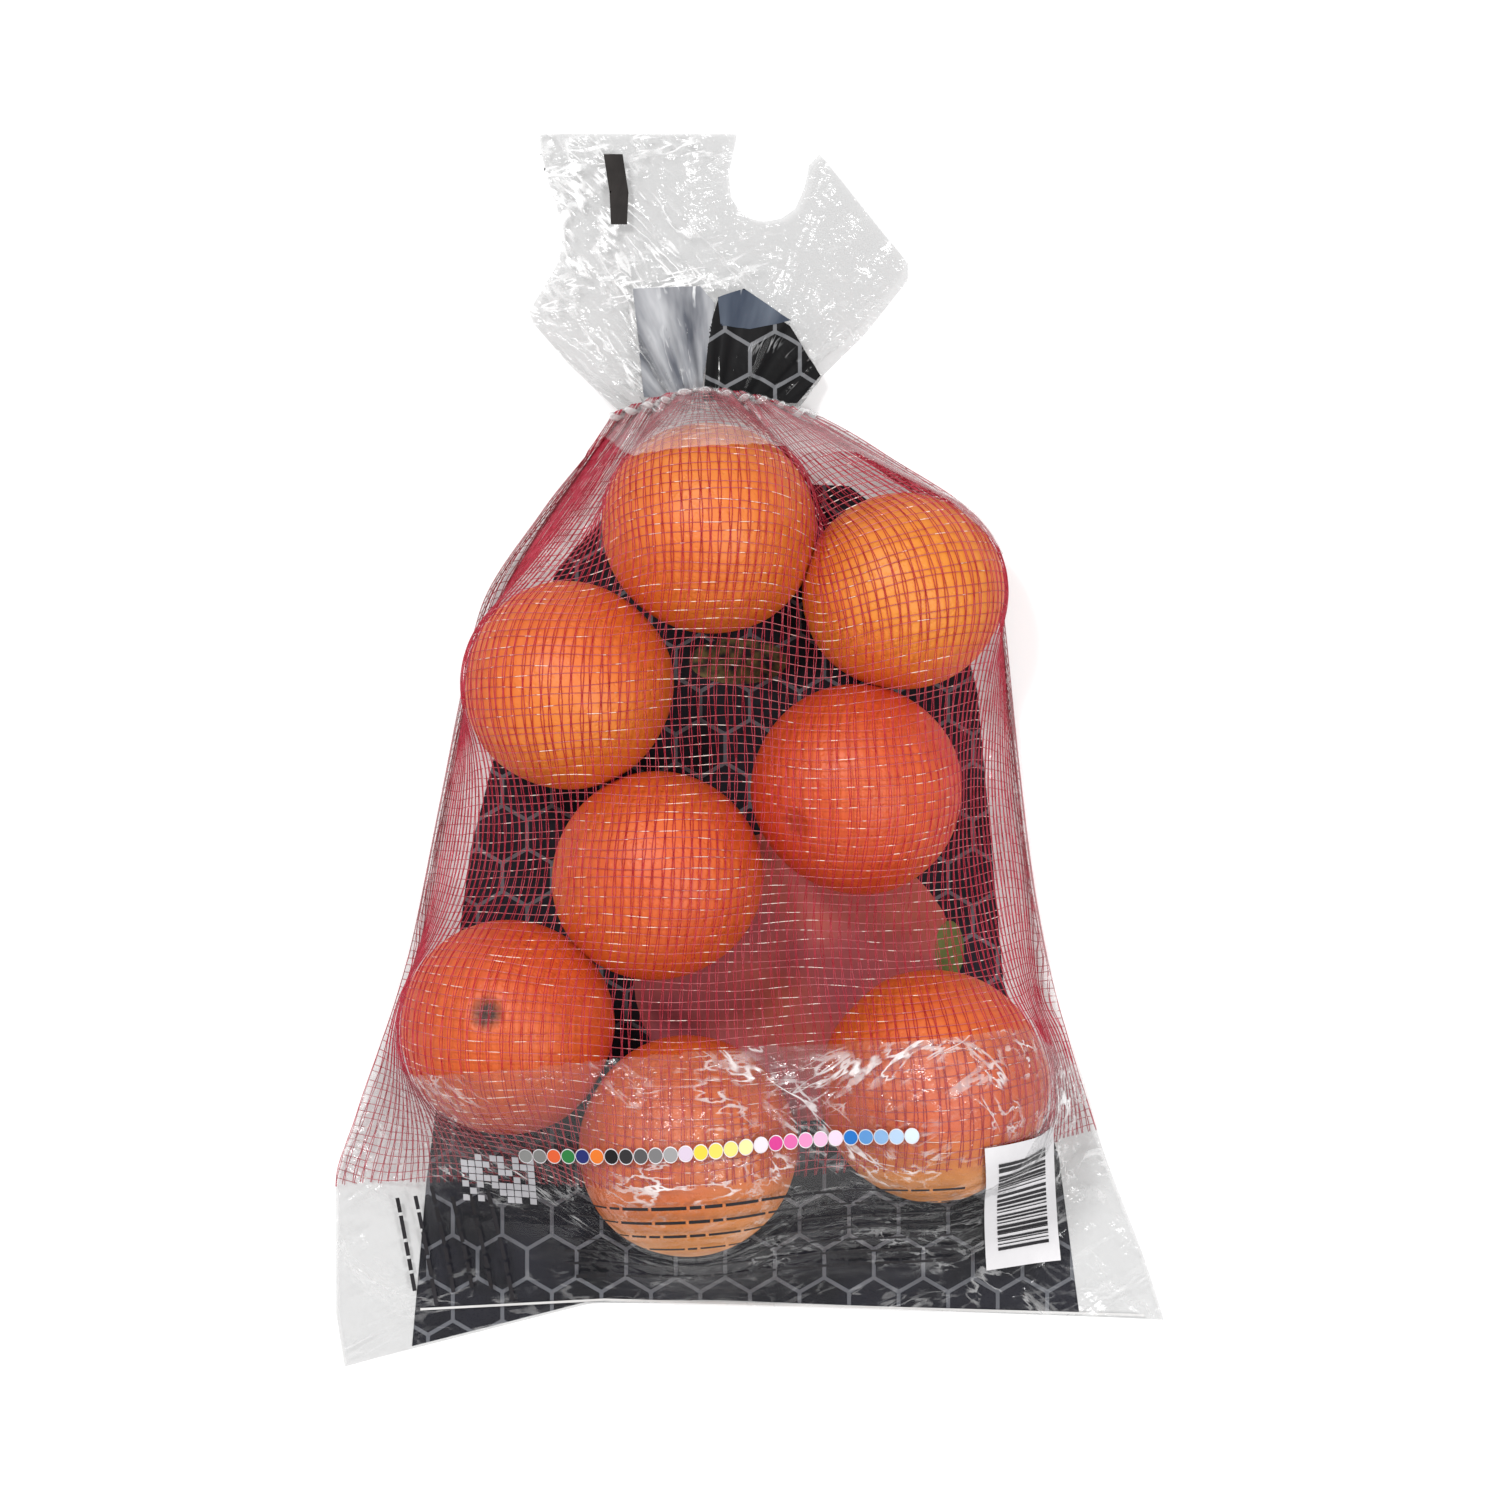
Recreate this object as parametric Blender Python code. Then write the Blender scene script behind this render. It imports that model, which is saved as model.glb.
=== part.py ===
"""A net bag of oranges lying on its printed film back, with the open mesh side up.

The bag is one closed solid, out to its skin of mesh and film. The skin runs over eight
oranges in one layer, thins out to the welded hem below them and narrows to the gathered
neck above them. Beyond the neck the loose film fans out, with a round hanging notch.

+X runs across the bag, +Y from the hem to the neck and +Z up from the table. The origin
is on the table, under the middle of the bag.
"""

import math

import bmesh
import bpy
import numpy as np

MM = 0.001

# Each orange's centre across and along the bag, and its radius. All lie on the table.
ORANGES_MM = (
    (-13.3, 73.5, 35.7),
    (51.2, 52.2, 33.7),
    (-60.2, 21.3, 35.0),
    (35.2, -13.7, 35.3),
    (-31.0, -43.0, 35.3),
    (-80.7, -92.8, 35.5),
    (-20.7, -132.2, 36.7),
    (61.3, -111.8, 38.5),
)

# The outline's two sides, from the hem up past the neck to the fan's top, as (x, y).
LEFT_SIDE_MM = (
    (-139, -212), (-142, -207), (-142, -150), (-135, -126), (-119, -80), (-106, -18),
    (-98.5, 20), (-92, 48), (-79, 82), (-55, 110), (-47.5, 116), (-75, 146),
    (-76.5, 150), (-65, 174), (-70, 196), (-72.5, 212),
)
RIGHT_SIDE_MM = (
    (142, -196), (136, -177), (119, -132), (105, -86), (97, -45), (92, -4), (87, 44),
    (84.5, 64), (76.5, 81), (45, 105), (18, 116), (25, 125), (54, 159), (55, 167),
    (23, 205), (15, 212),
)
# The hem dips to the bag's lower left corner: its height at shares of the width.
HEM_MM = ((0.0, -212), (0.3, -190.5), (0.45, -190), (1.0, -196))
HEM_LEVEL = -190
HEM_REACH = 0.24  # share of the bag's length over which the rows follow the hem
TOP = 212

NECK_Y = 116
NECK_X = -14
NECK_TOP = 26
NECK_BOTTOM = 6
NECK_SLOPE = 2.5  # of the skin down from the top orange to the neck
NECK_REACH = 24  # length over which the back lifts to the neck

SKIN_CLEAR = 0.8  # the skin stands this far off an orange
SKIN_SLOPE = 0.6  # of the taut skin between oranges
SKIN_BLEND = 3.0
SIDE_TOP = 28  # width over which the skin rises from the rim
SIDE_BOTTOM = 24  # width over which the back curves down from the rim to the table
RIM_REACH = 13  # how far an orange holds the rim up
FILM_HALF = 0.75  # half the thickness of the flat film beyond the oranges

FAN_END_HEIGHT = 3.6
FAN_DROP = 25  # length over which the fan sinks from the neck
NECK_SPREAD = 6  # length over which the gathered neck flattens out to film
PLEATS = 9
PLEAT_HEIGHT = 2.2

NOTCH_X = 5.5
NOTCH_Y = 194
NOTCH_RADIUS = 12.5
NOTCH_TOP_LEFT = -2.5
NOTCH_TOP_RIGHT = 29
NOTCH_OVERSHOOT = 12

COLUMNS = 38
ROWS = 80
FLAT_ANGLE = math.radians(0.5)


def clear_scene():
    for old in list(bpy.data.objects):
        bpy.data.objects.remove(old)


def material(name, colour, roughness):
    made = bpy.data.materials.new(name)
    made.use_nodes = True
    shader = made.node_tree.nodes["Principled BSDF"]
    shader.inputs["Base Color"].default_value = (*colour, 1)
    shader.inputs["Roughness"].default_value = roughness
    shader.inputs["Metallic"].default_value = 0
    return made


def smooth_step(share):
    share = np.clip(share, 0, 1)
    return share * share * (3 - 2 * share)


def side_x(points, y):
    """x of one side of the outline at heights y: a smooth curve that never overshoots its points."""
    xs, ys = np.array(points, float).T
    step = np.diff(ys)
    slope = np.diff(xs) / step
    tangent = np.concatenate([slope[:1], np.zeros(len(xs) - 2), slope[-1:]])
    before, after = slope[:-1], slope[1:]
    same_way = before * after > 0
    tangent[1:-1][same_way] = (2 * before * after / (before + after + 1e-12))[same_way]
    i = np.clip(np.searchsorted(ys, y) - 1, 0, len(xs) - 2)
    t = np.clip((y - ys[i]) / step[i], 0, 1)
    rise = step[i] * t * (1 - t) * ((1 - t) * tangent[i] - t * tangent[i + 1])
    return xs[i] + (xs[i + 1] - xs[i]) * t * t * (3 - 2 * t) + rise


def plan(columns, rows):
    """The x and y of a grid that fills the outline. Its first row is the hem."""
    across, along = np.meshgrid(np.linspace(0, 1, columns + 1), np.linspace(0, 1, rows + 1))
    hem_share, hem_y = np.array(HEM_MM, float).T
    dip = np.interp(across, hem_share, hem_y) - HEM_LEVEL
    y = HEM_LEVEL + (TOP - HEM_LEVEL) * along + dip * (1 - smooth_step(along / HEM_REACH))
    left, right = side_x(LEFT_SIDE_MM, y), side_x(RIGHT_SIDE_MM, y)
    return left + (right - left) * across, y


def dome(distance, radius):
    """Height of a taut skin over one orange: its round top, then a straight slope off it."""
    lean = math.atan(SKIN_SLOPE)
    leaves = radius * math.sin(lean)
    on_it = radius + np.sqrt(np.maximum(radius**2 - distance**2, 0))
    off_it = radius * (1 + math.cos(lean)) - SKIN_SLOPE * (distance - leaves)
    return np.where(distance < leaves, on_it, off_it)


def skin_height(x, y):
    """Height of the skin over all the oranges, and down to the neck."""
    domes = [dome(np.hypot(x - cx, y - cy), r) + SKIN_CLEAR for cx, cy, r in ORANGES_MM]
    over_all = SKIN_BLEND * np.log(sum(np.exp(h / SKIN_BLEND) for h in domes))
    to_neck = NECK_TOP + NECK_SLOPE * np.maximum(NECK_Y - y, 0)
    return np.maximum(np.minimum(over_all, to_neck), 2 * FILM_HALF)


def rim_height(x, y):
    """Height of the outline's edge: at an orange's widest beside one, near the table away from it."""
    held = np.full(x.shape, float(FILM_HALF))
    for cx, cy, r in ORANGES_MM:
        gap = np.maximum(np.hypot(x - cx, y - cy) - r, 0)
        held = np.maximum(held, r * np.exp(-((gap / RIM_REACH) ** 2)))
    return held


def quarter_round(distance, width):
    """0 at the edge and 1 from width inwards, upright at the edge."""
    return np.sqrt(1 - (1 - np.clip(distance / width, 0, 1)) ** 2)


def body_heights(x, y):
    """Top and bottom of the filled bag."""
    edge = np.concatenate([np.stack([x[:, 0], y[:, 0]], 1), np.stack([x[:, -1], y[:, -1]], 1),
                           np.stack([x[0], y[0]], 1)])
    apart = np.hypot(x[..., None] - edge[:, 0], y[..., None] - edge[:, 1])
    nearest, distance = apart.argmin(-1), apart.min(-1)
    rim = rim_height(edge[:, 0], edge[:, 1])[nearest]
    top = rim + np.maximum(skin_height(x, y) - rim, 0) * quarter_round(distance, SIDE_TOP)
    lift = NECK_BOTTOM * smooth_step((y - NECK_Y + NECK_REACH) / NECK_REACH)
    bottom = np.maximum(rim * (1 - quarter_round(distance, SIDE_BOTTOM)), lift)
    bottom = np.where(distance >= SIDE_BOTTOM, lift, bottom)
    return np.maximum(top, bottom + 2 * FILM_HALF), bottom


def fan_heights(x, y):
    """Top and bottom of the loose film beyond the neck, with pleats that spread from it."""
    beyond = np.maximum(y - NECK_Y, 0)
    neck_middle = (NECK_TOP + NECK_BOTTOM) / 2
    middle = FAN_END_HEIGHT + (neck_middle - FAN_END_HEIGHT) * np.exp(-beyond / FAN_DROP)
    turn = np.arctan2(x - NECK_X, beyond + NECK_REACH)
    pleat = PLEAT_HEIGHT * smooth_step(beyond / NECK_REACH) * np.sin(2 * PLEATS * turn)
    half = FILM_HALF + ((NECK_TOP - NECK_BOTTOM) / 2 - FILM_HALF) * np.exp(-beyond / NECK_SPREAD)
    return middle + pleat + half, middle + pleat - half


def sheet(columns, rows):
    """One flat grid of the bag's plan as a bmesh, with its rows of vertices."""
    bm = bmesh.new()
    bmesh.ops.create_grid(bm, x_segments=columns, y_segments=rows, size=1)
    order = sorted(bm.verts, key=lambda v: (round(v.co.y, 5), round(v.co.x, 5)))
    return bm, np.array(order, dtype=object).reshape(rows + 1, columns + 1)


def net_bag(collection):
    """The whole bag: a top and a bottom sheet joined round the rim."""
    x, y = plan(COLUMNS, ROWS)
    body_top, body_bottom = body_heights(x, y)
    fan_top, fan_bottom = fan_heights(x, y)
    past_neck = y > NECK_Y
    top = np.where(past_neck, fan_top, body_top)
    bottom = np.where(past_neck, fan_bottom, body_bottom)

    bm, verts = sheet(COLUMNS, ROWS)
    for index, vert in np.ndenumerate(verts):
        vert.co = (x[index] * MM, y[index] * MM, top[index] * MM)
    copied = bmesh.ops.duplicate(bm, geom=bm.verts[:] + bm.edges[:] + bm.faces[:])
    for index, vert in np.ndenumerate(verts):
        copied["vert_map"][vert].co.z = bottom[index] * MM
    rims = [e for e in bm.edges if e.is_boundary]
    bmesh.ops.bridge_loops(bm, edges=rims)
    bmesh.ops.recalc_face_normals(bm, faces=bm.faces)
    mesh = bpy.data.meshes.new("net_bag")
    bm.to_mesh(mesh)
    bm.free()

    bag = bpy.data.objects.new("net_bag", mesh)
    collection.objects.link(bag)
    mesh.materials.append(material("net_over_oranges", (0.75, 0.22, 0.06), 0.45))
    mesh.shade_smooth()
    return bag


def notch_cutter(collection):
    """A round-ended slot that opens through the fan's top edge."""
    right_end = math.radians(-20)
    left_end = math.radians(-175)
    turns = np.linspace(right_end, left_end, 17)
    arc = [(NOTCH_X + NOTCH_RADIUS * math.cos(a), NOTCH_Y + NOTCH_RADIUS * math.sin(a)) for a in turns]
    past_top = TOP + NOTCH_OVERSHOOT
    outline = [*arc, (NOTCH_TOP_LEFT, past_top), (NOTCH_TOP_RIGHT, past_top)]

    curve = bpy.data.curves.new("notch_outline", "CURVE")
    curve.dimensions = "2D"
    curve.fill_mode = "BOTH"
    curve.extrude = NECK_TOP * MM
    line = curve.splines.new("POLY")
    line.points.add(len(outline) - 1)
    for point, (px, py) in zip(line.points, outline):
        point.co = (px * MM, py * MM, 0, 1)
    line.use_cyclic_u = True
    guide = bpy.data.objects.new("notch_outline", curve)
    collection.objects.link(guide)

    evaluated = guide.evaluated_get(bpy.context.evaluated_depsgraph_get())
    mesh = bpy.data.meshes.new_from_object(evaluated)
    bm = bmesh.new()
    bm.from_mesh(mesh)
    bmesh.ops.remove_doubles(bm, verts=bm.verts, dist=0.00001)
    bmesh.ops.recalc_face_normals(bm, faces=bm.faces)
    bm.to_mesh(mesh)
    bm.free()
    bpy.data.objects.remove(guide)

    cutter = bpy.data.objects.new("notch_cutter", mesh)
    cutter.hide_render = True
    cutter.display_type = "WIRE"
    collection.objects.link(cutter)
    return cutter


def add_collection(name):
    made = bpy.data.collections.new(name)
    bpy.context.scene.collection.children.link(made)
    return made


def main():
    clear_scene()
    parts = add_collection("net_of_oranges")
    cutters = add_collection("cutters")
    bag = net_bag(parts)
    notch = bag.modifiers.new("notch", "BOOLEAN")
    notch.operation = "DIFFERENCE"
    notch.object = notch_cutter(cutters)
    flats = bag.modifiers.new("flat_back", "DECIMATE")
    flats.decimate_type = "DISSOLVE"
    flats.angle_limit = FLAT_ANGLE


main()
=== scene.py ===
"""The looks of the net bag of oranges: fruit, mesh, clear film and the printed film back.

The mesh front is draped over the oranges as a net of threads that resist stretching. Every
other piece of the front lies on that draped net. +X runs across the bag, +Y from the hem to
the neck and +Z up. Lengths here are in millimetres, and MM turns them into metres.
"""

import math

import bmesh
import bpy
import numpy as np
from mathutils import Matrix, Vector
from mathutils.bvhtree import BVHTree

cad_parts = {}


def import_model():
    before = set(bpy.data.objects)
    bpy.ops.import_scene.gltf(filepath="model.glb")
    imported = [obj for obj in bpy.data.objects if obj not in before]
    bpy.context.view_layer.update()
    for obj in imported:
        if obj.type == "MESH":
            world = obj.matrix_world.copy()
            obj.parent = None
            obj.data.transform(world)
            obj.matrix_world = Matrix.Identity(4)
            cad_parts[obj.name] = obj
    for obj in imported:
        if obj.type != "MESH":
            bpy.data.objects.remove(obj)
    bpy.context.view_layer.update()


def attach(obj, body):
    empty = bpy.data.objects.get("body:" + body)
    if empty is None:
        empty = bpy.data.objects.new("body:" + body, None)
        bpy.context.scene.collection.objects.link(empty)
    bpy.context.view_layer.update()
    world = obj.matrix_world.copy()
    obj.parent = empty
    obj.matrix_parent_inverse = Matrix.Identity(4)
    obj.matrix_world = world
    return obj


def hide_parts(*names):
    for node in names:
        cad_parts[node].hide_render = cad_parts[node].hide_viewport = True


MM = 0.001
SEED = 7
TURN = 6.28  # radians, near enough a full turn, for random phases

CAMERA_HEIGHT = 1200
CAMERA_Y = -0.5
FOCAL_LENGTH = 83.9

# Each orange: centre across and along the bag, radius, redness and how tall it is for its width.
ORANGES = {
    "orange_top": (-13.3, 73.5, 35.7, 0.15, 0.97),
    "orange_upper_right": (51.2, 52.2, 33.7, 0.00, 0.98),
    "orange_upper_left": (-60.2, 21.3, 35.0, 0.12, 0.98),
    "orange_middle_right": (35.2, -13.7, 35.3, 1.00, 0.97),
    "orange_middle_left": (-31.0, -43.0, 35.3, 0.60, 0.98),
    "orange_lower_left": (-80.7, -92.8, 35.5, 0.95, 0.98),
    "orange_bottom": (-20.7, -132.2, 36.7, 0.40, 0.98),
    "orange_lower_right": (61.3, -111.8, 38.5, 0.70, 0.97),
}
# Where an orange's navel or stem end faces, and how dark its scar is.
ENDS = {
    "orange_top": ((0.5, 0.8, 0.25), 0.0),
    "orange_upper_right": ((0.2, -0.9, -0.3), 0.0),
    "orange_upper_left": ((-0.7, -0.5, -0.3), 0.0),
    "orange_middle_right": ((-0.62, -0.34, 0.71), 0.35),
    "orange_middle_left": ((0.6, -0.7, -0.4), 0.0),
    "orange_lower_left": ((-0.14, 0.21, 0.97), 1.0),
    "orange_bottom": ((0.4, -0.8, -0.4), 0.0),
    "orange_lower_right": ((0.8, 0.2, -0.5), 0.0),
}

# The side on which some oranges are more yellow, and how much so.
GOLD = {
    "orange_top": ((0.3, -0.8, 0.3), 0.25),
    "orange_upper_right": ((0.3, 0.15, 0.95), 0.9),
    "orange_upper_left": ((0.1, -0.7, 0.5), 0.35),
    "orange_bottom": ((0.15, -1.0, 0.1), 1.0),
    "orange_lower_right": ((0.1, -1.0, 0.1), 1.0),
}

# The bag's outline, from the hem to the neck, as (x, y).
LEFT_SIDE = (
    (-139, -212), (-142, -207), (-142, -150), (-135, -126), (-119, -80), (-106, -18),
    (-98.5, 20), (-92, 48), (-70.5, 82), (-49, 110), (-46, 116),
)
RIGHT_SIDE = (
    (142, -196), (136, -177), (119, -132), (105, -86), (97, -45), (92, -4), (87, 44),
    (84.5, 64), (75, 81), (48, 99), (34.5, 107.5), (18, 116),
)
HEM = ((0.0, -212), (0.3, -190.5), (0.45, -190), (1.0, -196))
NECK_Y = 116
NECK_Z = 16
LIP_RADIUS = 1.3
NECK_ARCH = 8  # how far the middle of the gathered edge stands above its ends
SEAM_WIDTH = 1.4
FLOOR_HALF = 6.0  # metres
SKY_STRENGTH = 0.62  # for the light on the object; what shows is white
BAND_TAUT_BELOW = -160  # the y below which the front's film band is stretched
TABLE_FILM_Z = 0.15  # of the back film where it lies on the table
EVEN_SHARE = 0.68  # of the half width, over which the threads are evenly spread

COLUMNS = 100
ROWS = 120
FLAT_WIDTH = 284
THREAD_GAP = FLAT_WIDTH / COLUMNS
CLEAR = 0.9  # the net stands this far off an orange
DRAPE_STEPS = 260
DRAPE_PASSES = 6

BAND_TOP_Y = ((-142, -112), (-100, -106), (-52, -102), (24, -97), (90, -92), (112, -110), (142, -112))
NET_END_Y = ((-142, -150), (-112, -148), (62, -137), (120, -131), (142, -131))
HEADER_EDGE_Y = ((-60, 115), (-47, 104), (-38, 95), (-22, 97), (12, 99), (36, 98), (64, 82), (86, 62))


def smooth_step(share):
    share = np.clip(share, 0, 1)
    return share * share * (3 - 2 * share)


def side_x(points, y):
    """x of one side of the outline at heights y, on a smooth curve through its points."""
    xs, ys = np.array(points, float).T
    step = np.diff(ys)
    slope = np.diff(xs) / step
    tangent = np.concatenate([slope[:1], np.zeros(len(xs) - 2), slope[-1:]])
    before, after = slope[:-1], slope[1:]
    same_way = before * after > 0
    tangent[1:-1][same_way] = (2 * before * after / (before + after + 1e-12))[same_way]
    i = np.clip(np.searchsorted(ys, y) - 1, 0, len(xs) - 2)
    t = np.clip((y - ys[i]) / step[i], 0, 1)
    rise = step[i] * t * (1 - t) * ((1 - t) * tangent[i] - t * tangent[i + 1])
    return xs[i] + (xs[i + 1] - xs[i]) * t * t * (3 - 2 * t) + rise


def hem_y(share):
    at, y = np.array(HEM, float).T
    return np.interp(share, at, y)


# ---- Meshes ----------------------------------------------------------------------------

def add_piece(name, verts_mm, faces, look, smooth=True):
    """A mesh piece that rides on the bag's one body."""
    mesh = bpy.data.meshes.new(name)
    mesh.from_pydata((np.asarray(verts_mm, float) * MM).tolist(), [], faces)
    mesh.validate()
    if smooth:
        mesh.shade_smooth()
    mesh.materials.append(look)
    piece = bpy.data.objects.new(name, mesh)
    bpy.context.scene.collection.objects.link(piece)
    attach(piece, "root")
    return piece


def grid_faces(rows, columns):
    """Faces of a grid of rows × columns points."""
    j, i = np.meshgrid(np.arange(rows - 1), np.arange(columns - 1), indexing="ij")
    a = (j * columns + i).ravel()
    return np.stack([a, a + 1, a + columns + 1, a + columns], 1).tolist()


def add_grid(name, points, look):
    rows, columns = points.shape[:2]
    return add_piece(name, points.reshape(-1, 3), grid_faces(rows, columns), look)


# ---- The draped front ------------------------------------------------------------------

def front_pins():
    """Where the front's hem, neck and side seams are held."""
    u = np.linspace(0, 1, COLUMNS + 1)
    v = np.linspace(0, 1, ROWS + 1)
    y = -196 + (NECK_Y + 196) * v
    sides = []
    for points in (LEFT_SIDE, RIGHT_SIDE):
        width = side_x(RIGHT_SIDE, y) - side_x(LEFT_SIDE, y)
        z = 1.2 + 5 * smooth_step((FLAT_WIDTH - width) / 60)
        sides.append(np.stack([side_x(points, y), y, z], 1))
    hem = hem_y(u)
    bottom = np.stack([side_x(LEFT_SIDE, hem) * (1 - u) + side_x(RIGHT_SIDE, hem) * u,
                       hem, np.full(u.shape, 1.2)], 1)
    neck_x = LEFT_SIDE[-1][0] + (RIGHT_SIDE[-1][0] - LEFT_SIDE[-1][0]) * u
    gathers = 2 * np.sin(u * 2 * math.pi * 11)
    neck_y = NECK_Y - 2 + NECK_ARCH * np.sin(math.pi * u)
    top = np.stack([neck_x, neck_y, NECK_Z + gathers], 1)
    sides[0][0], sides[1][0] = bottom[0], bottom[-1]
    sides[0][-1], sides[1][-1] = top[0], top[-1]
    return sides[0], sides[1], bottom, top


def shorten(points, axis, start, rest):
    """Pulls together each second pair of neighbours that is stretched past its rest length."""
    n = points.shape[axis]
    count = (n - start) // 2
    near = [slice(None)] * 3
    far = [slice(None)] * 3
    near[axis] = slice(start, start + 2 * count, 2)
    far[axis] = slice(start + 1, start + 2 * count, 2)
    a, b = points[tuple(near)], points[tuple(far)]
    if a.shape != b.shape:
        near[axis] = slice(start, start + 2 * b.shape[axis], 2)
        a = points[tuple(near)]
    gap = b - a
    length = np.linalg.norm(gap, axis=-1, keepdims=True) + 1e-9
    pull = 0.5 * np.maximum(length - rest, 0) / length * gap
    a += pull
    b -= pull


def spread(u, width):
    """Share of the width at which each upright thread lies: even in the middle, dense at the sides."""
    from_middle = np.abs(u - 0.5) * FLAT_WIDTH
    half = width / 2
    even = EVEN_SHARE * half
    beyond = (from_middle - even) / (FLAT_WIDTH / 2 - even)
    crowded = even + (half - even) * (1 - (1 - np.clip(beyond, 0, 1)) ** 1.6)
    return 0.5 + np.sign(u - 0.5) * np.where(from_middle < even, from_middle, crowded) / width


def drape():
    """The front's net as rows × columns of knots, laid over the oranges."""
    left, right, bottom, top = front_pins()
    u = np.linspace(0, 1, COLUMNS + 1)[None, :, None]
    v = np.linspace(0, 1, ROWS + 1)[:, None, None]
    width = (right - left)[:, None, :1]
    share = spread(u, width)
    share = share + (u - share) * smooth_step((v - 0.93) / 0.07)
    knots = left[:, None] * (1 - share) + right[:, None] * share
    dip = bottom[None, :, 1] - knots[:, :, 1][:1]
    knots[:, :, 1] += dip * (1 - smooth_step(v[:, :, 0] / 0.25))
    balls = [(np.array([x, y, r]), r + CLEAR) for x, y, r, *_ in ORANGES.values()]
    knots[:, :, 2] = 40
    for centre, radius in balls:
        away = np.hypot(knots[..., 0] - centre[0], knots[..., 1] - centre[1])
        over = centre[2] + np.sqrt(np.maximum(radius**2 - away**2, 0))
        knots[:, :, 2] = np.where(away < radius, np.maximum(knots[:, :, 2], over), knots[:, :, 2])
    for _ in range(DRAPE_STEPS):
        knots[:, :, 2] -= 0.10
        for _ in range(DRAPE_PASSES):
            for axis in (0, 1):
                for start in (0, 1):
                    shorten(knots, axis, start, THREAD_GAP)
            for centre, radius in balls:
                off = knots - centre
                away = np.linalg.norm(off, axis=-1, keepdims=True) + 1e-9
                knots += np.maximum(radius - away, 0) / away * off
            knots[:, :, 2] = np.maximum(knots[:, :, 2], 1.2)
            lo, hi = side_x(LEFT_SIDE, knots[..., 1]), side_x(RIGHT_SIDE, knots[..., 1])
            knots[..., 0] = np.clip(knots[..., 0], lo, hi)
            knots[0], knots[-1], knots[:, 0], knots[:, -1] = bottom, top, left, right
        inner = knots[1:-1, 1:-1]
        around = knots[:-2, 1:-1] + knots[2:, 1:-1] + knots[1:-1, :-2] + knots[1:-1, 2:]
        inner += np.array([0.015, 0.015, 0.10]) * (around / 4 - inner)
    return knots


class Front:
    """The draped front as a smooth surface over u across and v up, both from 0 to 1."""

    def __init__(self, knots):
        self.knots = knots
        self.tree = sheet_tree(knots)

    def at(self, u, v):
        rows, columns = self.knots.shape[:2]
        y, x = np.clip(v, 0, 1) * (rows - 1), np.clip(u, 0, 1) * (columns - 1)
        j, i = np.minimum(y.astype(int), rows - 2), np.minimum(x.astype(int), columns - 2)
        across, up = self.weights(x - i), self.weights(y - j)
        total = 0
        for dj in range(4):
            for di in range(4):
                row = np.clip(j + dj - 1, 0, rows - 1)
                column = np.clip(i + di - 1, 0, columns - 1)
                total = total + self.knots[row, column] * (up[dj] * across[di])[..., None]
        return total

    @staticmethod
    def weights(t):
        """Catmull-Rom weights of four neighbouring knots."""
        return (-0.5 * t**3 + t**2 - 0.5 * t, 1.5 * t**3 - 2.5 * t**2 + 1,
                -1.5 * t**3 + 2 * t**2 + 0.5 * t, 0.5 * t**3 - 0.5 * t**2)

    def lifted(self, u, v, lift):
        step = 0.004
        across = self.at(u + step, v) - self.at(u - step, v)
        up = self.at(u, v + step) - self.at(u, v - step)
        out = np.cross(across, up)
        out /= np.linalg.norm(out, axis=-1, keepdims=True) + 1e-9
        return self.at(u, v) + out * np.asarray(lift)[..., None]


def rows_at_height(front, edge):
    """The v at each u where the front reaches the y that edge gives for its x."""
    u = np.linspace(0, 1, 241)
    v = np.linspace(0, 1, 401)
    points = front.at(*np.meshgrid(u, v))
    at, height = np.array(edge, float).T
    above = points[..., 1] >= np.interp(points[..., 0], at, height)
    return u, v[above.argmax(0)]


# ---- Looks -----------------------------------------------------------------------------

BLACK = (0.0, 0.0, 0.0)
WHITE = (1.0, 1.0, 1.0)
RAY_CENTRE = (-0.014, 0.096, 0.0)  # the middle of the neck, from which its pleats spread


def linear(red, green, blue):
    """A colour written as it looks on screen, 0 to 255, for a shader."""
    channels = np.array([red, green, blue]) / 255
    return tuple(np.where(channels > 0.04045, ((channels + 0.055) / 1.055) ** 2.4, channels / 12.92))


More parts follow.
